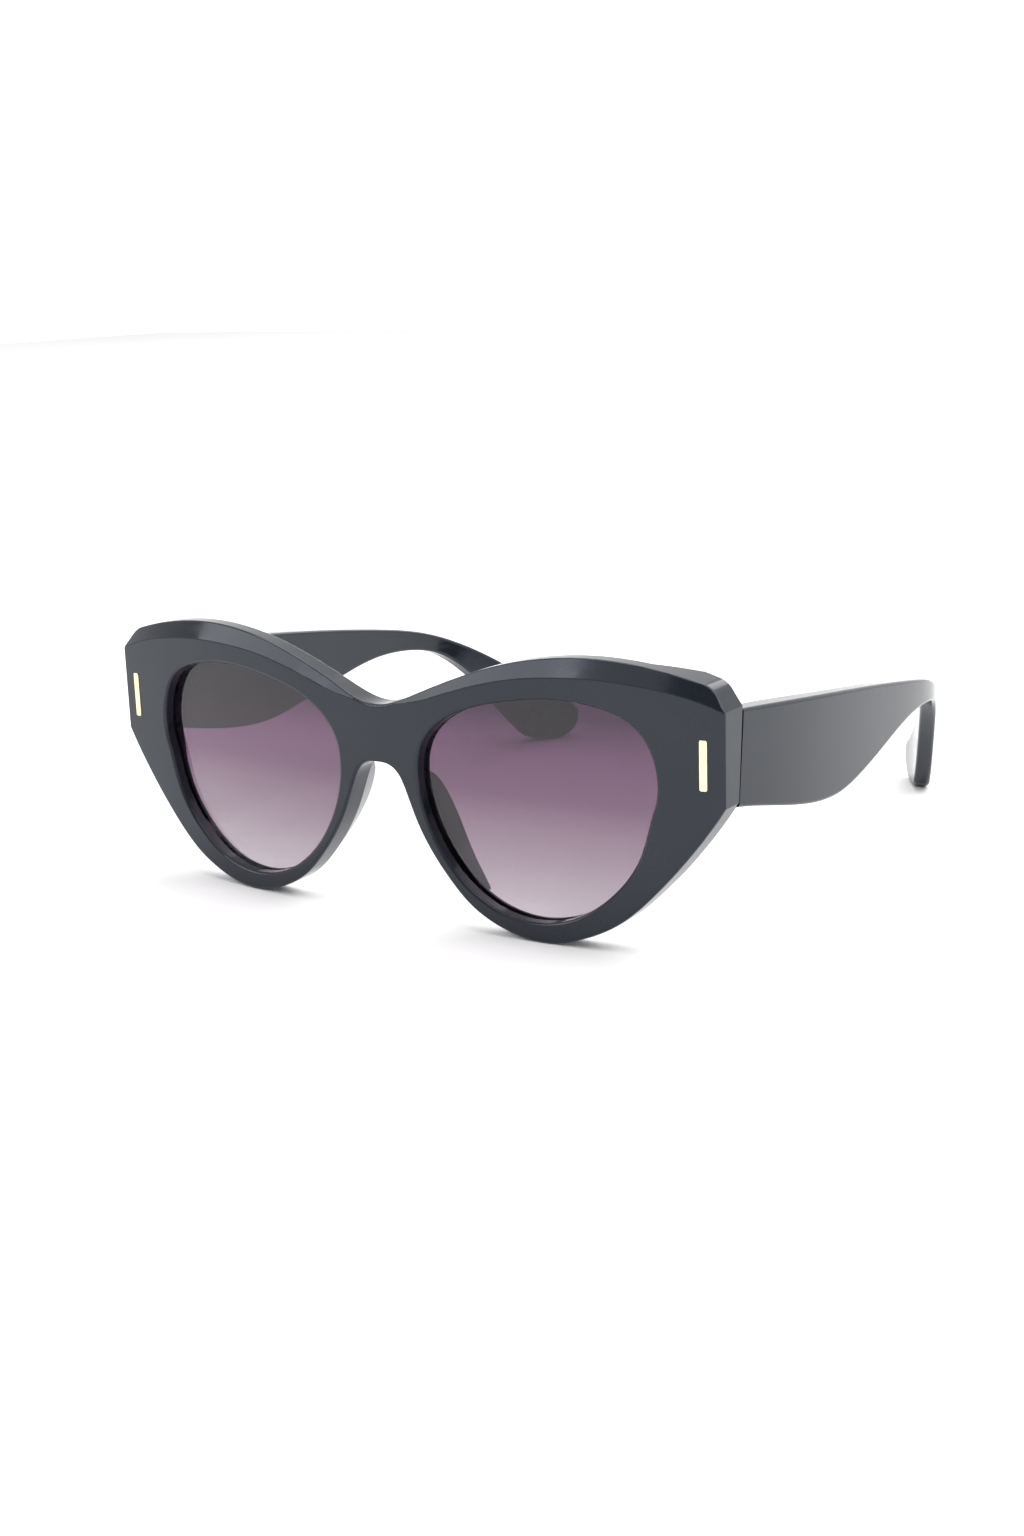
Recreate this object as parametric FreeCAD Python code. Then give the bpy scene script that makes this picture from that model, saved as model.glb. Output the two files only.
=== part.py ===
"""Cat eye sunglasses: plastic front, tinted lenses, plaque hinges and two folding temples.

Frame: +X is the wearer's left, +Y runs from the front to the ear tips, +Z is up.
The origin is at the middle of the footprint, on the plane the glasses stand on. Millimetres.
"""
import FreeCAD
import Part
import math
import os

os.makedirs("parts", exist_ok=True)

V = FreeCAD.Vector

# Overall layout
FRONT_Y = -73.5           # front surface at the bridge
FACE_RADIUS = 402.0       # plan radius of the wrapped front
RIM_DEPTH = 5.4           # front to back, away from the endpieces
FRONT_FILLET = 0.6
REAR_FILLET = 0.5
BEVEL_FILLET = 0.4
TEMPLE_FILLET = 0.7

# Lens and its groove
LENS_SETBACK = 2.4
LENS_THICKNESS = 2.0
LENS_BITE = 1.0           # how far the lens edge goes into the rim
GROOVE_PLAY = 0.05

# Nose pads: depths behind the bridge, and offsets of the strip from the nose edge
PAD_ROOT = 4.9            # just inside the back of the rims
PAD_CREST = PAD_ROOT + 7.0
PAD_ROOT_STRIP = (0.1, 2.4)
PAD_CREST_STRIP = (2.3, 3.0)
PAD_FILLET = 0.3

# Brow bevel
BEVEL_SLOPE = 1.65        # rise per millimetre of setback
WEDGE_AHEAD = 1.0         # the cutting wedge reaches from here in front of the face
WEDGE_BEHIND = 5.0        # to here behind it

# Endpiece: height, then depth of the rear and of the shoulder behind the bridge
ENDPIECE_SECTIONS = ((8.0, 10.0, 9.8), (29.0, 16.0, 13.4), (56.0, 16.0, 13.4))
ENDPIECE_X = (56.0, 64.0, 66.0, 73.0)   # root, shoulder, rear corner, beyond the side
ENDPIECE_SINK = 2.0       # how far the block starts behind the face
ENDPIECE_LAP = 0.6        # how far its root stays inside the back of the rim

# Hinge, in its own frame: z along the pin, y towards the ear, origin on the pin axis
HINGE_X = 66.1
HINGE_Y = FRONT_Y + 14.57
HINGE_Z = 37.5
HINGE_LEAN = 5.0
JOINT_Y = -2.0            # plane between endpiece and temple
JOINT_GAP = 0.3
KNUCKLE_R = 1.6
KNUCKLE_TOP = 3.9
MIDDLE_HALF = 1.2
KNUCKLE_GAP = 0.1
PIN_R = 0.7
PIN_PLAY = 0.05
LEAF_THICKNESS = 1.0
LEAF_WIDTH = 4.6
LEAF_HEIGHT = 9.0
LEAF_X = -3.2
KNUCKLE_LAP = 0.4         # how far the knuckle arms run into the front leaf
SCREW_HEAD_R = 1.2
SCREW_HEAD_HEIGHT = 0.55

# Gold bars on the endpieces
BAR_X = 68.1
BAR_Z = 37.0
BAR_WIDTH = 1.5
BAR_HEIGHT = 9.3
BAR_DEPTH = 0.9
BAR_PROUD = 0.25
BAR_PIN_R = 0.55
BAR_PIN_Z = 3.2
BAR_PIN_LENGTH = 6.3

# Temple
TEMPLE_SCREW_Y = (5.0, 8.6)
TEMPLE_SCREW_R = 0.6
TEMPLE_SCREW_HEAD_R = 1.05
CORE_WIRE_R = 0.7

TOP_EDGE = [
    (0.0, 42.6), (9.4, 45.4), (18.6, 49.2), (27.4, 52.1), (35.8, 53.8),
    (45.0, 54.5), (55.4, 53.8), (67.2, 51.3),
]
BROW_CORNER = [(67.2, 51.3), (68.6, 50.7), (69.75, 49.7)]
SIDE_TOP = (72.0, 46.7)
SIDE_BOTTOM = (72.0, 29.3)
LOWER_EDGE = [
    (72.0, 29.3), (69.8, 25.9), (65.4, 19.9), (57.6, 10.9), (51.5, 5.5), (45.3, 2.2),
    (40.0, 0.5), (36.0, 0.0), (32.0, 0.3), (27.0, 1.7), (20.5, 5.2), (16.0, 9.6),
    (12.3, 14.3), (8.9, 20.1), (6.3, 26.4), (4.0, 30.1), (1.8, 31.1), (0.0, 31.2),
]
OPENING = [
    (58.6, 28.0), (58.6, 37.0), (55.1, 42.8), (47.6, 46.0), (37.0, 46.7), (26.5, 45.1),
    (16.5, 41.5), (10.6, 35.6), (9.5, 28.5), (11.4, 20.7), (17.2, 11.5), (24.5, 6.0),
    (33.0, 3.8), (41.9, 5.3), (50.1, 10.8), (55.8, 18.8),
]
BEVEL_CREASE = [
    (3.0, 42.6), (10.9, 44.4), (15.6, 45.9), (20.1, 47.4), (24.5, 48.6), (28.8, 49.6),
    (36.9, 50.7), (44.9, 51.1), (52.7, 50.8), (60.2, 49.9), (67.6, 48.2), (76.0, 44.9),
]
NOSE_EDGE = [(5.4, 28.6), (8.9, 20.1), (12.3, 14.3), (16.0, 9.6), (20.0, 5.6)]
# Nose pad, side view (y from the bridge, z)
PAD_SIDE = [
    (4.9, 29.4), (7.4, 28.9), (9.0, 27.3), (10.1, 24.3), (10.45, 20.3), (9.8, 16.2),
    (8.3, 10.8), (6.9, 7.4), (4.9, 5.4),
]

# Temple, side view (y from the bridge, z)
TEMPLE_TOP = [
    (6.0, 46.9), (25.1, 45.0), (45.0, 42.8), (68.1, 39.9), (92.0, 36.2), (108.3, 32.4),
    (120.0, 27.0), (136.0, 16.0), (143.6, 10.0),
]
TEMPLE_END = [(143.6, 10.0), (147.0, 6.2), (145.4, 1.8), (140.0, 0.0), (134.6, 1.9)]
TEMPLE_BOTTOM = [
    (134.6, 1.9), (126.6, 11.6), (118.0, 21.4), (109.5, 27.4), (100.0, 29.5), (90.0, 29.6),
    (74.0, 26.7), (60.0, 23.4), (50.0, 22.0), (43.5, 22.2), (25.0, 25.6), (6.0, 29.1),
]
# Temple, plan view (x, y from the bridge)
TEMPLE_OUTER = [
    (71.3, 6.0), (72.9, 22.0), (73.8, 40.0), (73.8, 57.0), (73.0, 78.0), (71.6, 95.0),
    (69.9, 105.0), (66.7, 115.0), (62.3, 125.0), (57.2, 135.5), (52.9, 143.0), (47.6, 151.0),
]
TEMPLE_INNER = [
    (68.1, 6.0), (68.1, 16.0), (68.4, 27.0), (69.3, 38.0), (69.9, 52.0), (69.4, 72.0),
    (67.9, 94.0), (66.3, 104.0), (63.2, 114.0), (58.8, 124.0), (53.6, 134.5), (49.5, 141.5),
    (44.2, 149.5),
]


def spline(points, closed=False):
    """Smooth edge through the given vectors."""
    curve = Part.BSplineCurve()
    curve.interpolate(Points=points, PeriodicFlag=closed)
    return curve.toShape()


def polyline(points):
    return [Part.makeLine(a, b) for a, b in zip(points, points[1:])]


def face_y(x):
    """Front surface of the wrapped face at x."""
    return FRONT_Y + FACE_RADIUS - math.sqrt(FACE_RADIUS ** 2 - x ** 2)


def upright(points):
    """Points (x, z) placed in the plane in front of the glasses."""
    return [V(x, FRONT_Y - 5.0, z) for x, z in points]


def mirrored(points):
    return [(-x, z) for x, z in reversed(points)]


def mirror_image(shape):
    """The same shape on the other side of the glasses."""
    return shape.mirror(V(0, 0, 0), V(1, 0, 0))


def right_way_out(solid):
    """Turn a loft that came out inside out."""
    if solid.Volume < 0:
        solid.reverse()
    return solid


def extrude_back(wire, depth):
    return Part.Face(wire).extrude(V(0, depth, 0))


def curved_slab(front_offset, back_offset, half_width):
    """Vertical slab that follows the wrapped face between two offsets behind it."""
    centre = V(0, FRONT_Y + FACE_RADIUS, -20)
    outer = Part.makeCylinder(FACE_RADIUS - front_offset, 100, centre)
    inner = Part.makeCylinder(FACE_RADIUS - back_offset, 100, centre)
    block = Part.makeBox(2 * half_width, 60, 100, V(-half_width, FRONT_Y - 5, -20))
    return outer.cut(inner).common(block)


def front_outline():
    top = spline(upright(mirrored(TOP_EDGE)[:-1] + TOP_EDGE))
    lower = spline(upright(LOWER_EDGE + mirrored(LOWER_EDGE)[1:]))
    edges = [top, lower]
    for points in (BROW_CORNER, mirrored(BROW_CORNER)):
        edges.append(Part.Arc(*upright(points)).toShape())
    side = [BROW_CORNER[-1], SIDE_TOP, SIDE_BOTTOM]
    edges += polyline(upright(side))
    edges += polyline(upright(mirrored(side)))
    return Part.Wire(Part.__sortEdges__(edges))


def opening_wire(grow):
    """Lens opening, moved outwards all round by a distance."""
    edge = spline(upright(OPENING), closed=True)
    if grow == 0:
        return Part.Wire([edge])
    points = []
    for distance in range(36):
        at = edge.getParameterByLength(edge.Length * distance / 36.0)
        tangent = edge.tangentAt(at)
        outward = V(tangent.z, 0, -tangent.x)
        points.append(edge.valueAt(at) + outward * grow)
    return Part.Wire([spline(points, closed=True)])


def lens_body(grow, play):
    plan = extrude_back(opening_wire(grow), 30)
    slab = curved_slab(LENS_SETBACK - play, LENS_SETBACK + LENS_THICKNESS + play, 80)
    return plan.common(slab)


def hinge_frame():
    spot = V(HINGE_X, HINGE_Y, HINGE_Z)
    return FreeCAD.Placement(spot, FreeCAD.Rotation(V(1, 0, 0), -HINGE_LEAN))


def in_hinge_frame(shape):
    placed = shape.copy()
    placed.Placement = hinge_frame()
    return placed


def ahead_of_joint(clearance):
    """Everything in front of the joint plane, on the left side."""
    depth = 60.0
    box = Part.makeBox(40, depth, 120, V(-20, JOINT_Y - clearance - depth, -60))
    return in_hinge_frame(box)


def behind_joint():
    """Room for the temple, behind the lower corner of the rim."""
    box = Part.makeBox(20, 40, 24, V(-2, JOINT_Y - JOINT_GAP / 2, -18))
    return in_hinge_frame(box)


def endpiece():
    """Thick corner block that carries the hinge, before it is trimmed to the outline."""
    root_x, shoulder_x, corner_x, side_x = ENDPIECE_X
    sections = []
    for z, rear, shoulder in ENDPIECE_SECTIONS:
        plan = [
            V(root_x, face_y(root_x) + ENDPIECE_SINK, z),
            V(side_x, face_y(side_x) + ENDPIECE_SINK, z),
            V(side_x, FRONT_Y + rear, z), V(corner_x, FRONT_Y + rear, z),
            V(shoulder_x, FRONT_Y + shoulder, z),
            V(root_x, face_y(root_x) + RIM_DEPTH - ENDPIECE_LAP, z),
        ]
        sections.append(Part.makePolygon(plan + plan[:1]))
    block = Part.makeLoft(sections, True, True)
    return block.common(ahead_of_joint(JOINT_GAP / 2))


def bevel_cutter():
    """Wedge above the brow crease, swept across one side."""
    sections = []
    for x, z in BEVEL_CREASE:
        y = face_y(x)
        low = V(x, y - WEDGE_AHEAD, z - WEDGE_AHEAD * BEVEL_SLOPE)
        high = V(x, y + WEDGE_BEHIND, z + WEDGE_BEHIND * BEVEL_SLOPE)
        corner = V(x, y - WEDGE_AHEAD, z + WEDGE_BEHIND * BEVEL_SLOPE)
        sections.append(Part.makePolygon([low, high, corner, low]))
    return right_way_out(Part.makeLoft(sections, True, False))


def bar_frame():
    turn = math.degrees(math.asin(BAR_X / FACE_RADIUS))
    spot = V(BAR_X, face_y(BAR_X), BAR_Z)
    return FreeCAD.Placement(spot, FreeCAD.Rotation(V(0, 0, 1), turn))


def front_bar():
    plate = Part.makeBox(
        BAR_WIDTH, BAR_DEPTH + BAR_PROUD, BAR_HEIGHT,
        V(-BAR_WIDTH / 2, -BAR_PROUD, -BAR_HEIGHT / 2))
    corners = [e for e in plate.Edges if abs(e.tangentAt(0).y) > 0.9]
    plate = plate.makeFillet(0.4, corners)
    face = [e for e in plate.Edges if e.BoundBox.YMax < -BAR_PROUD + 0.01]
    plate = plate.makeFillet(0.15, face)
    for side in (-1, 1):
        foot = V(0, BAR_DEPTH - 0.1, side * BAR_PIN_Z)
        pin = Part.makeCylinder(BAR_PIN_R, BAR_PIN_LENGTH - BAR_DEPTH + 0.1, foot, V(0, 1, 0))
        plate = plate.fuse(pin)
    plate = plate.removeSplitter()
    plate.Placement = bar_frame()
    return plate


def knuckle(low, high, towards_front):
    barrel = Part.makeCylinder(KNUCKLE_R, high - low, V(0, 0, low))
    if towards_front:
        reach = JOINT_Y - KNUCKLE_LAP
        arm = Part.makeBox(2 * KNUCKLE_R, -reach, high - low, V(-KNUCKLE_R, reach, low))
    else:
        arm = Part.makeBox(2.4, 3.4, high - low, V(0, 0, low))
    return barrel.fuse(arm)


def hinge_front_leaf():
    leaf = Part.makeBox(
        LEAF_WIDTH, LEAF_THICKNESS, LEAF_HEIGHT,
        V(LEAF_X, JOINT_Y - JOINT_GAP / 2 - LEAF_THICKNESS, -LEAF_HEIGHT / 2))
    inner = MIDDLE_HALF + KNUCKLE_GAP
    for low, high in ((-KNUCKLE_TOP, -inner), (inner, KNUCKLE_TOP)):
        leaf = leaf.fuse(knuckle(low, high, True))
    bore = Part.makeCylinder(PIN_R, 20, V(0, 0, -10))
    return leaf.cut(bore).removeSplitter()


def hinge_screw():
    shank = Part.makeCylinder(PIN_R, 2 * KNUCKLE_TOP, V(0, 0, -KNUCKLE_TOP))
    head = Part.makeCylinder(SCREW_HEAD_R, SCREW_HEAD_HEIGHT, V(0, 0, KNUCKLE_TOP))
    head = head.makeChamfer(0.15, [head.Edges[0]])
    slot = Part.makeBox(3, 0.3, 0.4, V(-1.5, -0.15, KNUCKLE_TOP + 0.3))
    return shank.fuse(head).removeSplitter().cut(slot)


def hinge_temple_leaf():
    plate = Part.makeBox(1.2, 9.4, 6.8, V(1.2, 2.2, -3.4))
    upright_edges = [e for e in plate.Edges if abs(e.tangentAt(0).x) > 0.9 and e.BoundBox.YMin > 11]
    plate = plate.makeFillet(1.6, upright_edges)
    leaf = plate.fuse(knuckle(-MIDDLE_HALF, MIDDLE_HALF, False))
    leaf = leaf.cut(Part.makeCylinder(PIN_R + PIN_PLAY, 20, V(0, 0, -10)))
    for y in TEMPLE_SCREW_Y:
        leaf = leaf.cut(temple_leaf_screw(y))
    return leaf.removeSplitter()


def temple_leaf_screw(y):
    head = Part.makeCylinder(TEMPLE_SCREW_HEAD_R, 0.4, V(1.0, y, 0), V(1, 0, 0))
    shank = Part.makeCylinder(TEMPLE_SCREW_R, 3.0, V(1.2, y, 0), V(1, 0, 0))
    return head.fuse(shank).removeSplitter()


def temple_leaf_screws():
    screws = []
    for y in TEMPLE_SCREW_Y:
        slot = Part.makeBox(0.25, 2.4, 0.28, V(0.98, y - 1.2, -0.14))
        screws.append(temple_leaf_screw(y).cut(slot))
    return Part.makeCompound(screws)


def temple_blank():
    def side(points):
        return [V(0, FRONT_Y + y, z) for y, z in points]

    def plan(points):
        return [V(x, FRONT_Y + y, 0) for x, y in points]

    top, end, bottom = side(TEMPLE_TOP), side(TEMPLE_END), side(TEMPLE_BOTTOM)
    edges = [spline(top), spline(end), spline(bottom), Part.makeLine(bottom[-1], top[0])]
    profile = Part.Face(Part.Wire(edges)).extrude(V(120, 0, 0))
    outer, inner = plan(TEMPLE_OUTER), plan(TEMPLE_INNER)
    edges = [
        spline(outer), Part.makeLine(outer[-1], inner[-1]),
        spline(inner), Part.makeLine(inner[0], outer[0]),
    ]
    strip = Part.Face(Part.Wire(Part.__sortEdges__(edges))).extrude(V(0, 0, 60))
    blank = profile.common(strip).cut(ahead_of_joint(-JOINT_GAP / 2)).removeSplitter()
    long_edges = [e for e in blank.Edges if e.Length > 5 and e.BoundBox.YMax > FRONT_Y + 30]
    return blank.makeFillet(TEMPLE_FILLET, long_edges)


def core_wire():
    start = V(71.3, FRONT_Y + 28.0, 36.0)
    end = V(70.2, FRONT_Y + 92.0, 33.2)
    return Part.makeCylinder(CORE_WIRE_R, (end - start).Length, start, end - start)


def pad_section(depth, inner, outer):
    """Strip along the nose edge, between two offsets from it, at a depth behind the bridge."""
    edge = Part.BSplineCurve()
    edge.interpolate([V(x, FRONT_Y + depth, z) for x, z in NOSE_EDGE])
    near, far = [], []
    for step in range(6):
        at = edge.FirstParameter + (edge.LastParameter - edge.FirstParameter) * step / 5.0
        point, tangent = edge.value(at), edge.tangent(at)[0]
        away = V(-tangent.z, 0, tangent.x)
        near.append(point + away * inner)
        far.append(point + away * outer)
    return Part.Wire([
        spline(near), Part.makeLine(near[-1], far[-1]),
        spline(far[::-1]), Part.makeLine(far[0], near[0]),
    ])


def nose_pad():
    base = pad_section(PAD_ROOT, *PAD_ROOT_STRIP)
    crest = pad_section(PAD_CREST, *PAD_CREST_STRIP)
    strip = right_way_out(Part.makeLoft([base, crest], True, True))
    side = [V(0, FRONT_Y + y, z) for y, z in PAD_SIDE]
    profile = Part.Wire([spline(side), Part.makeLine(side[-1], side[0])])
    pad = strip.common(Part.Face(profile).extrude(V(30, 0, 0))).removeSplitter()
    crest_edges = [e for e in pad.Edges if e.Length > 15 and e.BoundBox.YMax > FRONT_Y + 9]
    return pad.makeFillet(PAD_FILLET, crest_edges).Solids[0]


def cut_both_sides(body, tools):
    for tool in tools:
        body = body.cut(tool)
        body = body.cut(mirror_image(tool))
    return body.removeSplitter()


def on_face(edge, offset):
    """True if the edge lies on the wrapped surface this far behind the front."""
    span = edge.LastParameter - edge.FirstParameter
    for share in (0.0, 0.3, 0.6, 1.0):
        point = edge.valueAt(edge.FirstParameter + span * share)
        reach = math.hypot(point.x, point.y - FRONT_Y - FACE_RADIUS)
        if abs(reach - FACE_RADIUS + offset) > 0.02:
            return False
    return True


def bevel_rim(body, wedge):
    """Edges along which the bevel runs out into the top of the brow."""
    found = []
    for edge in body.Edges:
        middle = edge.valueAt((edge.FirstParameter + edge.LastParameter) / 2)
        middle = V(abs(middle.x), middle.y, middle.z)
        on_bevel = Part.Vertex(middle).distToShape(wedge)[0] < 0.01
        if on_bevel and middle.y - face_y(middle.x) > FRONT_FILLET + 0.05:
            found.append(edge)
    return found


def frame_front():
    outline = extrude_back(front_outline(), 40)
    opening = extrude_back(opening_wire(0), 30)
    body = cut_both_sides(outline.common(curved_slab(0, RIM_DEPTH, 80)), [opening])
    body = body.makeFillet(FRONT_FILLET, [e for e in body.Edges if on_face(e, 0)])
    body = body.makeFillet(REAR_FILLET, [e for e in body.Edges if on_face(e, RIM_DEPTH)])
    block = endpiece().common(outline).cut(opening)
    body = body.fuse(block).fuse(mirror_image(block))
    wedge = bevel_cutter()
    body = cut_both_sides(body, [behind_joint(), wedge])
    body = body.makeFillet(BEVEL_FILLET, bevel_rim(body, wedge))
    return cut_both_sides(body, [
        lens_body(LENS_BITE + GROOVE_PLAY, GROOVE_PLAY),
        front_bar(), in_hinge_frame(hinge_front_leaf()),
    ])


def save(name, shape):
    shape.exportStep("parts/" + name + ".step")
    box = shape.BoundBox
    print(name, shape.isValid(), len(shape.Solids), round(shape.Volume, 1),
          [round(v, 2) for v in (box.XMin, box.XMax, box.YMin, box.YMax, box.ZMin, box.ZMax)])


front = frame_front()
save("frame_front", front)

left = {
    "lens": lens_body(LENS_BITE, 0),
    "nose_pad": nose_pad(),
    "front_bar": front_bar(),
    "hinge_front_leaf": in_hinge_frame(hinge_front_leaf()).cut(front_bar()),
    "hinge_screw": in_hinge_frame(hinge_screw()),
    "hinge_temple_leaf": in_hinge_frame(hinge_temple_leaf()),
    "temple_leaf_screws": in_hinge_frame(temple_leaf_screws()),
    "temple_core_wire": core_wire(),
}
temple = temple_blank()
for name in ("hinge_temple_leaf", "temple_leaf_screws", "temple_core_wire"):
    temple = temple.cut(left[name])
left["temple"] = temple

for name, shape in left.items():
    save(name + "_left", shape)
    save(name + "_right", mirror_image(shape))
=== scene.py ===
"""Cat eye sunglasses standing on a pale studio floor.

Metres; +X is the wearer's left, +Y is backwards, +Z is up.
"""

import bpy
from mathutils import Matrix, Vector


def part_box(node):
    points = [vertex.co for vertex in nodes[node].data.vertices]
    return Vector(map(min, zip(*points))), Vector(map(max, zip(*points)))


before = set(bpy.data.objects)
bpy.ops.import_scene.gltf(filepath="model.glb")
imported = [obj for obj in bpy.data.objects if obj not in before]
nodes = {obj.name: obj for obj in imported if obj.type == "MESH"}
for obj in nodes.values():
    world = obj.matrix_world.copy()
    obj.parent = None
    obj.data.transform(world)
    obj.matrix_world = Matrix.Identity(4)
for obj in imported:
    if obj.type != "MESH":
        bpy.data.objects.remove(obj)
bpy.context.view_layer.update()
SIDES = ("left", "right")

# ---------------------------------------------------------------- values

# Noise value at which a colour or a roughness starts and stops changing
NOISE_RANGE = (0.3, 0.7)

# Linear colours, darkest first
PLASTIC_COLOURS = ((0.006, 0.0078, 0.012), (0.010, 0.0128, 0.018))
GOLD_COLOURS = ((0.86, 0.74, 0.43), (0.95, 0.85, 0.56))
HINGE_COLOURS = ((0.02, 0.021, 0.025), (0.045, 0.047, 0.052))
SCREW_COLOURS = ((0.09, 0.09, 0.1), (0.16, 0.16, 0.17))
WIRE_COLOURS = ((0.4, 0.4, 0.42), (0.62, 0.62, 0.64))
FLOOR_COLOURS = ((0.9, 0.9, 0.9), (0.93, 0.93, 0.93))

# Noise patterns: scale, detail, roughness
PLASTIC_CLOUD = (55.0, 5.0, 0.6)
PLASTIC_SMEAR = (2.0, 6.0, 0.65)
PLASTIC_RIPPLE = (160.0, 2.0, 0.4)
LENS_HAZE = (90.0, 4.0, 0.6)
GOLD_GRAIN = (3.0, 5.0, 0.6)
METAL_GRAIN = (2.0, 6.0, 0.65)
FLOOR_SHADE = (3.0, 3.0, 0.5)

# Stretch of a pattern along X, Y and Z; the grain runs along the axis with the smallest number
PLASTIC_STRETCH = (60, 60, 260)
GOLD_STRETCH = (900, 900, 60)
METAL_STRETCH = (1200, 90, 1200)

# Relief: strength, and height in metres
PLASTIC_RELIEF = (0.05, 0.0002)
GOLD_RELIEF = (0.08, 0.00005)
METAL_RELIEF = (0.12, 0.00005)

# Roughness where the pattern is lowest and highest
PLASTIC_ROUGHNESS = (0.06, 0.17)
LENS_ROUGHNESS = (0.0, 0.008)
GOLD_ROUGHNESS = (0.16, 0.3)
HINGE_ROUGHNESS = (0.28, 0.45)
SCREW_ROUGHNESS = (0.2, 0.34)
WIRE_ROUGHNESS = (0.25, 0.4)
FLOOR_ROUGHNESS = 0.9

PLASTIC_IOR = 1.46
PLASTIC_GLOSS_TINT = (0.85, 0.91, 1.0, 1.0)
LENS_IOR = 1.5
LENS_SPECULAR = 0.5
LENS_HAZE_RANGE = (0.45, 0.8)
FLOOR_SPECULAR = 0.1

# Lens tint: share of the lens height, then the light that passes both faces
LENS_TINT = (
    (0.00, (0.490, 0.445, 0.480)),
    (0.10, (0.372, 0.320, 0.360)),
    (0.27, (0.254, 0.194, 0.240)),
    (0.54, (0.125, 0.067, 0.115)),
    (0.73, (0.101, 0.046, 0.092)),
    (0.90, (0.036, 0.015, 0.036)),
)

FLOOR_HALF_SIZE = 2.6

# Softboxes: name, place, aim, width, height, watts
SOFTBOXES = (
    ("left_softbox", (-0.98, -0.90, 0.92), (0, 0, 0.05), 0.85, 0.9, 7.2),
    ("front_softbox", (-0.38, -1.12, 1.03), (0, 0, 0.05), 0.6, 0.6, 1.0),
    ("top_softbox", (0.4, 0.8, 2.2), (0, 0, 0), 3.4, 3.4, 84.0),
)

# Walls: strength in front of and behind the glasses, and the Y directions it changes between
WALL_STRENGTH = (1.0, 1.4)
WALL_RANGE = (-0.3, 0.8)
# Ceiling: lowest strength, the Z directions it dims between, and how far it dims in front
# and behind, with the Y directions between the two
CEILING_STRENGTH = 0.25
CEILING_RANGE = (0.25, 0.5)
CEILING_DIMMING = (1.0, 0.25)
DIMMING_RANGE = (-0.55, -0.1)

CAMERA_RIGHT = (0.8296, 0.5574, -0.0323)
CAMERA_BACK = (0.5469, -0.7996, 0.2481)
CAMERA_PLACE = (0.2320, -0.3667, 0.1247)
CAMERA_LENS = 46.875
CAMERA_SENSOR = 36.0

# ---------------------------------------------------------------- node helpers


def new_material(name):
    material = bpy.data.materials.new(name)
    material.use_nodes = True
    tree = material.node_tree
    shader = tree.nodes["Principled BSDF"]
    return material, tree, shader


def add(tree, kind, **settings):
    node = tree.nodes.new(kind)
    for name, value in settings.items():
        setattr(node, name, value)
    return node


def noise(tree, coordinates, pattern):
    scale, detail, roughness = pattern
    node = add(tree, "ShaderNodeTexNoise")
    node.inputs["Scale"].default_value = scale
    node.inputs["Detail"].default_value = detail
    node.inputs["Roughness"].default_value = roughness
    tree.links.new(coordinates, node.inputs["Vector"])
    return node.outputs["Fac"]


def ramp(tree, value, stops):
    node = add(tree, "ShaderNodeValToRGB")
    elements = node.color_ramp.elements
    while len(elements) < len(stops):
        elements.new(0.5)
    for element, (place, colour) in zip(elements, stops):
        element.position = place
        element.color = (*colour, 1.0)
    tree.links.new(value, node.inputs["Fac"])
    return node.outputs["Color"]


def mottle(tree, pattern, colours):
    """Colour that wanders between two tones with a noise pattern."""
    return ramp(tree, pattern, list(zip(NOISE_RANGE, colours)))


def spread(tree, value, low, high, from_low=0.0, from_high=1.0):
    """Carry a value from one range over to another, held at the ends."""
    node = add(tree, "ShaderNodeMapRange")
    node.inputs["From Min"].default_value = from_low
    node.inputs["From Max"].default_value = from_high
    node.inputs["To Min"].default_value = low
    node.inputs["To Max"].default_value = high
    tree.links.new(value, node.inputs["Value"])
    return node.outputs["Result"]


def product(tree, first, second):
    node = add(tree, "ShaderNodeMath", operation="MULTIPLY")
    tree.links.new(first, node.inputs[0])
    tree.links.new(second, node.inputs[1])
    return node.outputs["Value"]


def bump(tree, shader, height, relief):
    strength, distance = relief
    node = add(tree, "ShaderNodeBump")
    node.inputs["Strength"].default_value = strength
    node.inputs["Distance"].default_value = distance
    tree.links.new(height, node.inputs["Height"])
    tree.links.new(node.outputs["Normal"], shader.inputs["Normal"])


def object_place(tree):
    return add(tree, "ShaderNodeTexCoord").outputs["Object"]


def stretched(tree, scale):
    """Object coordinates, stretched so that a pattern runs along an axis."""
    mapping = add(tree, "ShaderNodeMapping")
    mapping.inputs["Scale"].default_value = scale
    tree.links.new(object_place(tree), mapping.inputs["Vector"])
    return mapping.outputs["Vector"]


# ---------------------------------------------------------------- materials


def polished_plastic():
    """Opaque blue-black plastic, tumbled to a gloss, with faint cloudiness and smears."""
    material, tree, shader = new_material("polished_black_plastic")
    place = object_place(tree)
    cloud = noise(tree, place, PLASTIC_CLOUD)
    tree.links.new(mottle(tree, cloud, PLASTIC_COLOURS), shader.inputs["Base Color"])
    smear = noise(tree, stretched(tree, PLASTIC_STRETCH), PLASTIC_SMEAR)
    roughness = spread(tree, smear, *PLASTIC_ROUGHNESS, *NOISE_RANGE)
    tree.links.new(roughness, shader.inputs["Roughness"])
    shader.inputs["IOR"].default_value = PLASTIC_IOR
    shader.inputs["Specular Tint"].default_value = PLASTIC_GLOSS_TINT
    bump(tree, shader, noise(tree, place, PLASTIC_RIPPLE), PLASTIC_RELIEF)
    return material


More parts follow.
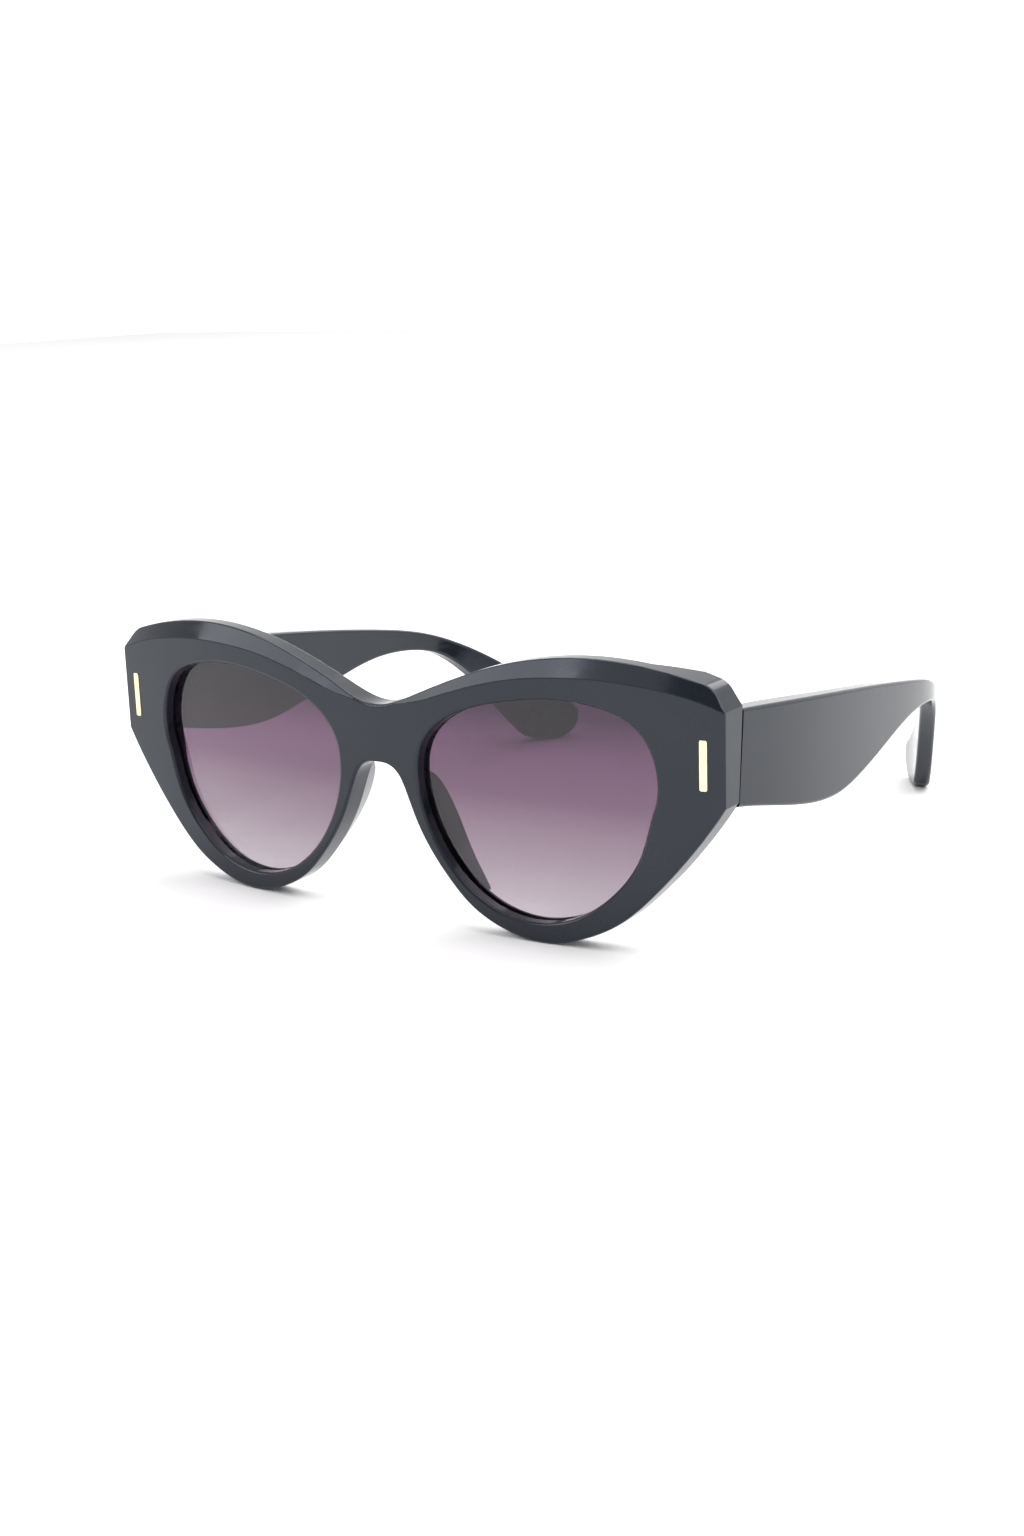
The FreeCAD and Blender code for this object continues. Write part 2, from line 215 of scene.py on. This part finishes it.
def tinted_lens():
    """Clear plastic lens whose plum tint is deepest under the brow and fades towards the cheek.

    Shadow rays pass straight through it and only take on the tint.
    """
    material, tree, shader = new_material("gradient_tinted_lens")
    low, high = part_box("lens_left")
    height = add(tree, "ShaderNodeSeparateXYZ")
    tree.links.new(object_place(tree), height.inputs["Vector"])
    share = spread(tree, height.outputs["Z"], 0.0, 1.0, low.z, high.z)
    tint = ramp(tree, share, LENS_TINT)
    tree.links.new(tint, shader.inputs["Base Color"])
    shader.inputs["Transmission Weight"].default_value = 1.0
    shader.inputs["IOR"].default_value = LENS_IOR
    shader.inputs["Specular IOR Level"].default_value = LENS_SPECULAR
    haze = noise(tree, object_place(tree), LENS_HAZE)
    roughness = spread(tree, haze, *LENS_ROUGHNESS, *LENS_HAZE_RANGE)
    tree.links.new(roughness, shader.inputs["Roughness"])
    shadow_glass = add(tree, "ShaderNodeBsdfTransparent")
    tree.links.new(tint, shadow_glass.inputs["Color"])
    ray = add(tree, "ShaderNodeLightPath")
    mix = add(tree, "ShaderNodeMixShader")
    tree.links.new(ray.outputs["Is Shadow Ray"], mix.inputs["Fac"])
    tree.links.new(shader.outputs["BSDF"], mix.inputs[1])
    tree.links.new(shadow_glass.outputs["BSDF"], mix.inputs[2])
    tree.links.new(mix.outputs["Shader"], tree.nodes["Material Output"].inputs["Surface"])
    return material


def grained_metal(name, stretch, pattern, colours, roughness, relief):
    """Metal with a fine grain along one axis."""
    material, tree, shader = new_material(name)
    grain = noise(tree, stretched(tree, stretch), pattern)
    tree.links.new(mottle(tree, grain, colours), shader.inputs["Base Color"])
    shader.inputs["Metallic"].default_value = 1.0
    tree.links.new(spread(tree, grain, *roughness), shader.inputs["Roughness"])
    bump(tree, shader, grain, relief)
    return material


def brushed_metal(name, colours, roughness):
    return grained_metal(name, METAL_STRETCH, METAL_GRAIN, colours, roughness, METAL_RELIEF)


PLASTIC = polished_plastic()
LENS = tinted_lens()
GOLD = grained_metal(
    "pale_gold_plate", GOLD_STRETCH, GOLD_GRAIN, GOLD_COLOURS, GOLD_ROUGHNESS, GOLD_RELIEF)
HINGE = brushed_metal("black_coated_hinge", HINGE_COLOURS, HINGE_ROUGHNESS)
SCREW = brushed_metal("dark_screw_steel", SCREW_COLOURS, SCREW_ROUGHNESS)
WIRE = brushed_metal("drawn_core_wire", WIRE_COLOURS, WIRE_ROUGHNESS)

FINISHES = {
    "frame_front": PLASTIC, "nose_pad": PLASTIC, "temple": PLASTIC, "lens": LENS,
    "front_bar": GOLD, "hinge_front_leaf": HINGE, "hinge_temple_leaf": HINGE,
    "hinge_screw": SCREW, "temple_leaf_screws": SCREW, "temple_core_wire": WIRE,
}


def finish_of(name):
    for side in SIDES:
        name = name.removesuffix("_" + side)
    return FINISHES[name]


for name, node in nodes.items():
    for slot in node.material_slots:
        slot.material = finish_of(name)

# ---------------------------------------------------------------- floor, light and camera


def studio_floor():
    size = FLOOR_HALF_SIZE
    mesh = bpy.data.meshes.new("studio_floor")
    corners = [(-size, -size, 0), (size, -size, 0), (size, size, 0), (-size, size, 0)]
    mesh.from_pydata(corners, [], [(0, 1, 2, 3)])
    floor = bpy.data.objects.new("studio_floor", mesh)
    bpy.context.scene.collection.objects.link(floor)
    material, tree, shader = new_material("pale_floor")
    shade = noise(tree, object_place(tree), FLOOR_SHADE)
    tree.links.new(mottle(tree, shade, FLOOR_COLOURS), shader.inputs["Base Color"])
    shader.inputs["Roughness"].default_value = FLOOR_ROUGHNESS
    shader.inputs["Specular IOR Level"].default_value = FLOOR_SPECULAR
    mesh.materials.append(material)


def softbox(name, place, aim, width, height, watts):
    light = bpy.data.lights.new(name, "AREA")
    light.shape = "RECTANGLE"
    light.size = width
    light.size_y = height
    light.energy = watts
    lamp = bpy.data.objects.new(name, light)
    lamp.location = place
    lamp.rotation_euler = (Vector(aim) - Vector(place)).to_track_quat("-Z", "Y").to_euler()
    bpy.context.scene.collection.objects.link(lamp)


def studio_world():
    """White walls, brighter behind the glasses, and a ceiling that is dim in front of them."""
    world = bpy.data.worlds.new("studio")
    bpy.context.scene.world = world
    world.use_nodes = True
    tree = world.node_tree
    background = tree.nodes["Background"]
    direction = add(tree, "ShaderNodeSeparateXYZ")
    look = add(tree, "ShaderNodeTexCoord").outputs["Generated"]
    tree.links.new(look, direction.inputs["Vector"])
    wall = spread(tree, direction.outputs["Y"], *WALL_STRENGTH, *WALL_RANGE)
    high = spread(tree, direction.outputs["Z"], 0.0, 1.0, *CEILING_RANGE)
    dimming = spread(tree, direction.outputs["Y"], *CEILING_DIMMING, *DIMMING_RANGE)
    ceiling = spread(tree, product(tree, high, dimming), 1.0, CEILING_STRENGTH)
    tree.links.new(product(tree, wall, ceiling), background.inputs["Strength"])
    background.inputs["Color"].default_value = (1.0, 1.0, 1.0, 1.0)


def studio_camera():
    """Long-lens view from the wearer's left of centre, a little above the brow."""
    right = Vector(CAMERA_RIGHT).normalized()
    back = Vector(CAMERA_BACK).normalized()
    up = back.cross(right).normalized()
    right = up.cross(back)
    data = bpy.data.cameras.new("camera")
    data.lens = CAMERA_LENS
    data.sensor_width = CAMERA_SENSOR
    camera = bpy.data.objects.new("camera", data)
    matrix = Matrix((right, up, back)).transposed().to_4x4()
    matrix.translation = Vector(CAMERA_PLACE)
    camera.matrix_world = matrix
    bpy.context.scene.collection.objects.link(camera)
    bpy.context.scene.camera = camera


studio_floor()
studio_world()
studio_camera()
for box in SOFTBOXES:
    softbox(*box)
bpy.context.scene.view_settings.view_transform = "Standard"
